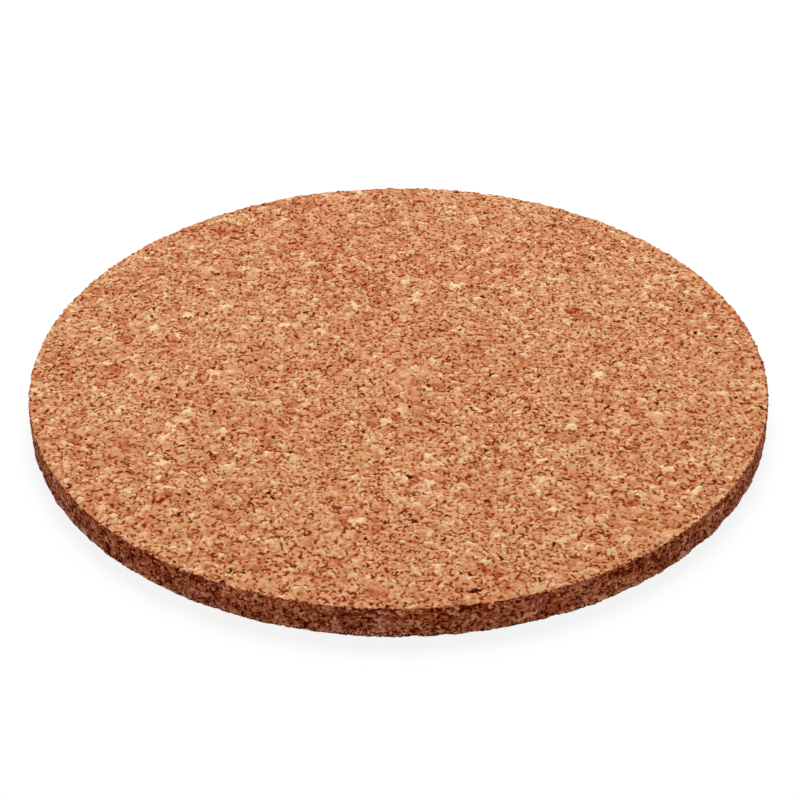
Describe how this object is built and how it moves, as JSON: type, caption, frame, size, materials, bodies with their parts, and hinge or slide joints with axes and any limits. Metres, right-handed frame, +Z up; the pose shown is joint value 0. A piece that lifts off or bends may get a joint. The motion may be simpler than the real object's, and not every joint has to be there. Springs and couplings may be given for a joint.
{
  "type": "cork coaster",
  "caption": "Round flat coaster of pressed cork granules that lies under a cup or glass and keeps heat, drips and scratches off the table.",
  "frame": {"origin": "centre of the face that the coaster rests on", "axes": "+Z up through the thickness, X and Y in the plane of the disc"},
  "size_m": [0.1, 0.1, 0.0045],
  "materials": {
    "core_cork": "matt, open-grained cork",
    "pale_cork": "matt cork",
    "honey_cork": "matt cork",
    "russet_cork": "matt cork",
    "bark_cork": "matt, rough bark"
  },
  "bodies": {
    "root": {"pressed_core": "core_cork", "top_pale_granules": "pale_cork", "top_honey_granules": "honey_cork", "top_russet_granules": "russet_cork", "top_bark_granules": "bark_cork", "rim_pale_granules": "pale_cork", "rim_honey_granules": "honey_cork", "rim_russet_granules": "russet_cork", "rim_bark_granules": "bark_cork", "base_pale_granules": "pale_cork", "base_honey_granules": "honey_cork", "base_russet_granules": "russet_cork", "base_bark_granules": "bark_cork"}
  },
  "joints": []
}
